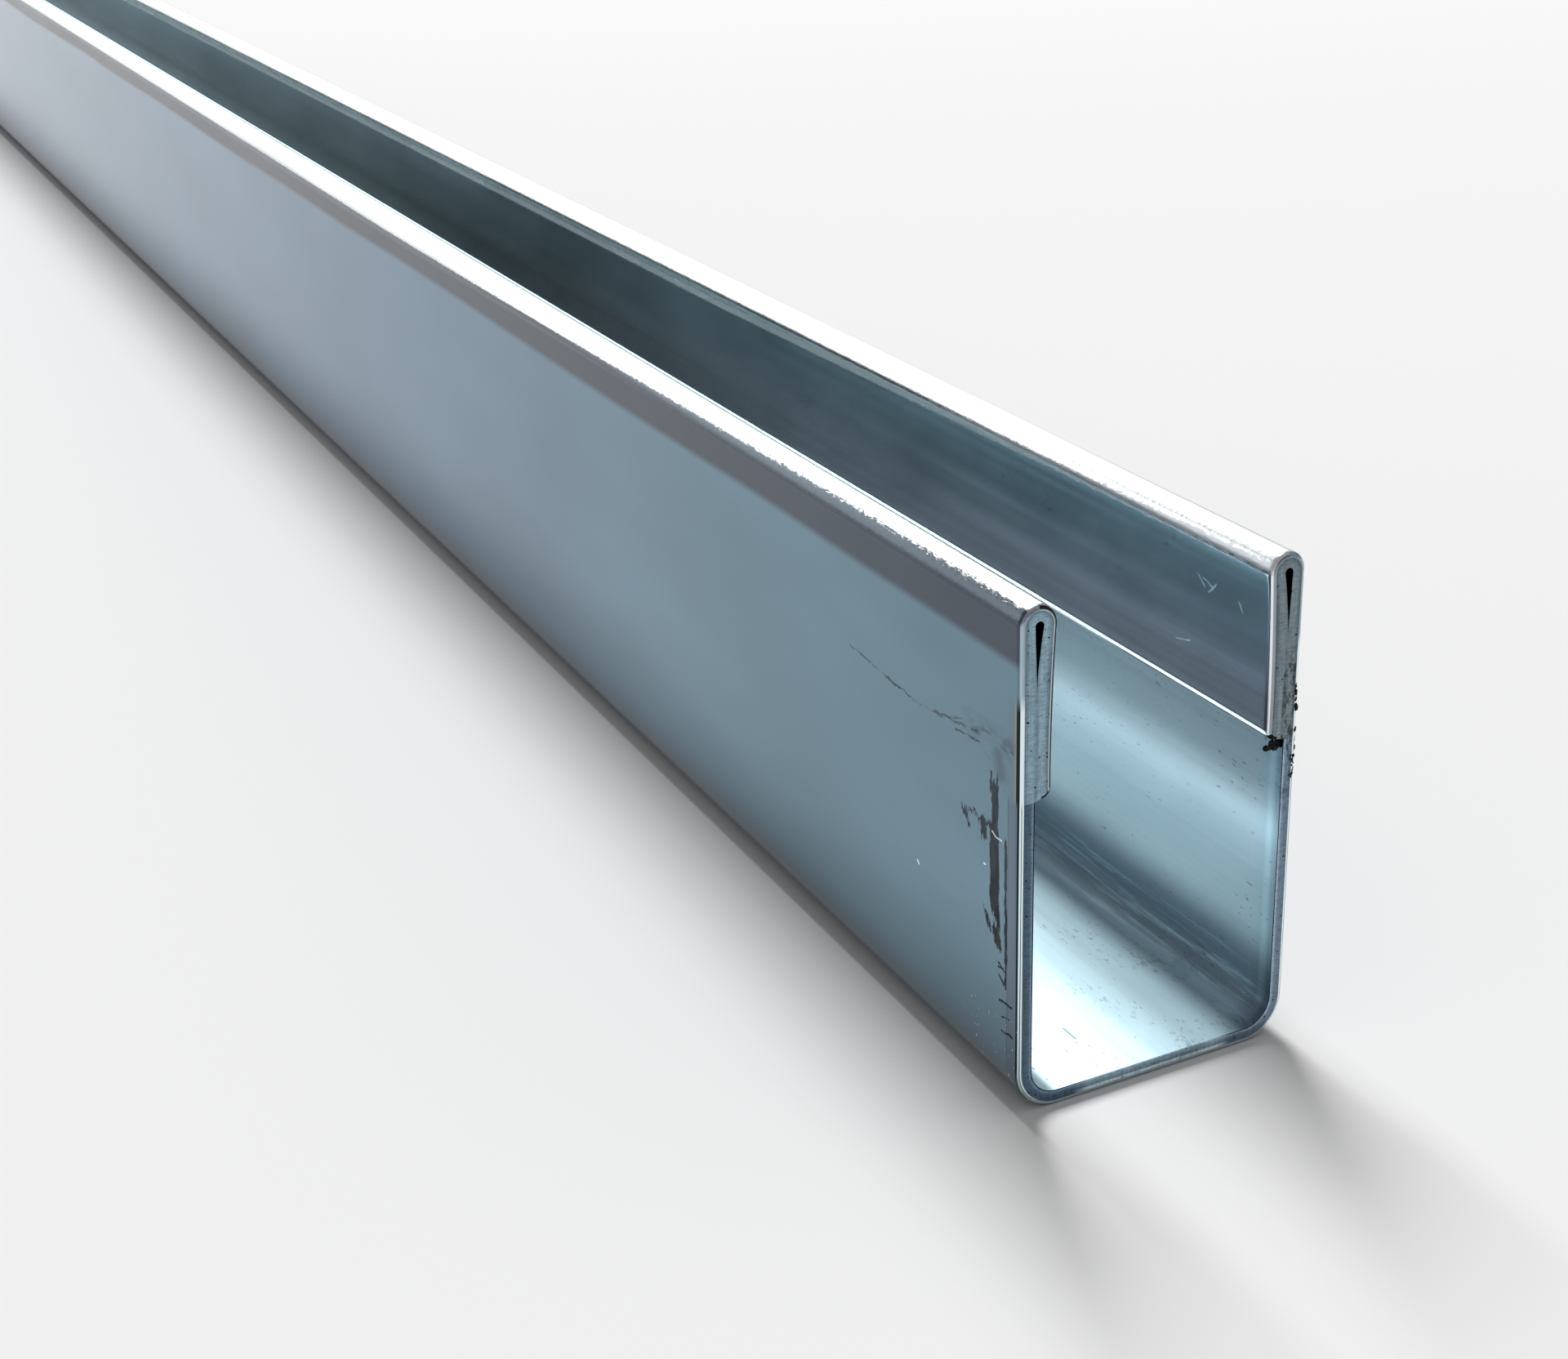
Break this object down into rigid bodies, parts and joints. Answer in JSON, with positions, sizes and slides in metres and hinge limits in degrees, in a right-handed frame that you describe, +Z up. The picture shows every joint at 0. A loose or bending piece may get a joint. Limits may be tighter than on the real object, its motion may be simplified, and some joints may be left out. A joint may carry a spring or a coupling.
{
  "type": "metal channel section",
  "caption": "Straight U channel folded from polished stainless sheet, with drop-shaped hems turned in along both flanges and square cut ends.",
  "frame": {"origin": "middle of the web's underside, halfway along the bar", "axes": "+X along the bar towards the pictured cut end, +Y across from the near flange to the far one, +Z up out of the open side"},
  "size_m": [1, 0.015, 0.025],
  "materials": {
    "mirror_stainless": "mirror polished outside and over the hems, satin mill finish inside"
  },
  "bodies": {
    "root": {"hemmed_channel": "mirror_stainless"}
  },
  "joints": []
}
